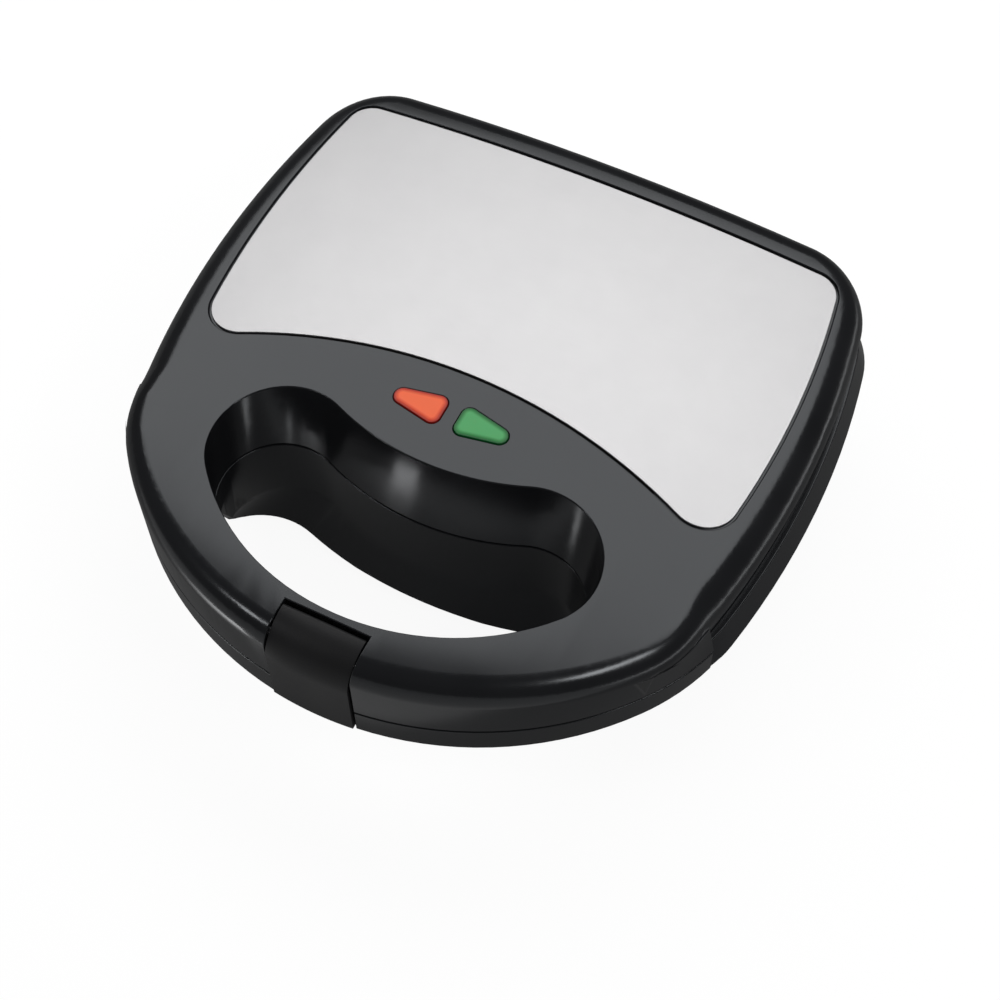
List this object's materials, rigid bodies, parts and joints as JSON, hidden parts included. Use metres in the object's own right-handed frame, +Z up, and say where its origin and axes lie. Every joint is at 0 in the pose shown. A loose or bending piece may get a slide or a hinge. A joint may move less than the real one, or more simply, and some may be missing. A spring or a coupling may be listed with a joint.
{
  "type": "sandwich maker",
  "caption": "Countertop sandwich maker with a hinged domed lid, a loop handle with a hand hole, a steel panel, signal lenses and a front clip.",
  "frame": {"origin": "on the table under the middle of the whole box", "axes": "+X to the right seen from the front, +Y to the rear hinge, +Z up"},
  "size_m": [0.24, 0.2402, 0.0844],
  "materials": {
    "black_plastic": "satin moulded",
    "matte_plastic": "fine matte moulded",
    "panel_steel": "fine satin",
    "red_lens": "clear coloured",
    "green_lens": "clear coloured",
    "nonstick": "non-stick coated casting",
    "element_steel": "heat tinted",
    "sheet_steel": "plain sheet",
    "pin_steel": "drawn wire",
    "ceramic": "unglazed",
    "lamp_glass": "clear",
    "rubber": "moulded",
    "lead_sleeve": "woven sleeve"
  },
  "bodies": {
    "base": {"base_housing": "black_plastic", "base_handle_liner": "matte_plastic", "lower_plate": "nonstick", "lower_element": "element_steel", "lower_reflector": "sheet_steel", "base_screws": "pin_steel", "thermostat": "sheet_steel", "thermal_fuse": "sheet_steel", "terminal_block": "ceramic", "cord_inlet": "rubber", "base_leads": "lead_sleeve", "hinge_pin_left": "pin_steel", "hinge_pin_right": "pin_steel", "foot_front_left": "rubber", "foot_front_right": "rubber", "foot_rear_left": "rubber", "foot_rear_right": "rubber"},
    "lid": {"lid_cover": "black_plastic", "lid_handle_liner": "matte_plastic", "steel_panel": "panel_steel", "power_lens": "red_lens", "ready_lens": "green_lens", "lamp_holder": "ceramic", "power_lamp": "lamp_glass", "ready_lamp": "lamp_glass", "upper_plate": "nonstick", "upper_element": "element_steel", "upper_reflector": "sheet_steel", "lid_screws": "pin_steel", "latch_pin": "pin_steel"},
    "latch": {"latch_clip": "matte_plastic"}
  },
  "joints": [
    {"name": "lid_hinge", "type": "hinge", "parent": "base", "child": "lid", "pos_m": [0, 0.11535, 0.0565], "axis": [-1, 0, 0], "range_deg": [0, 100]},
    {"name": "latch_pivot", "type": "hinge", "parent": "lid", "child": "latch", "pos_m": [0, -0.11315, 0.079], "axis": [-1, 0, 0], "range_deg": [0, 35]}
  ]
}
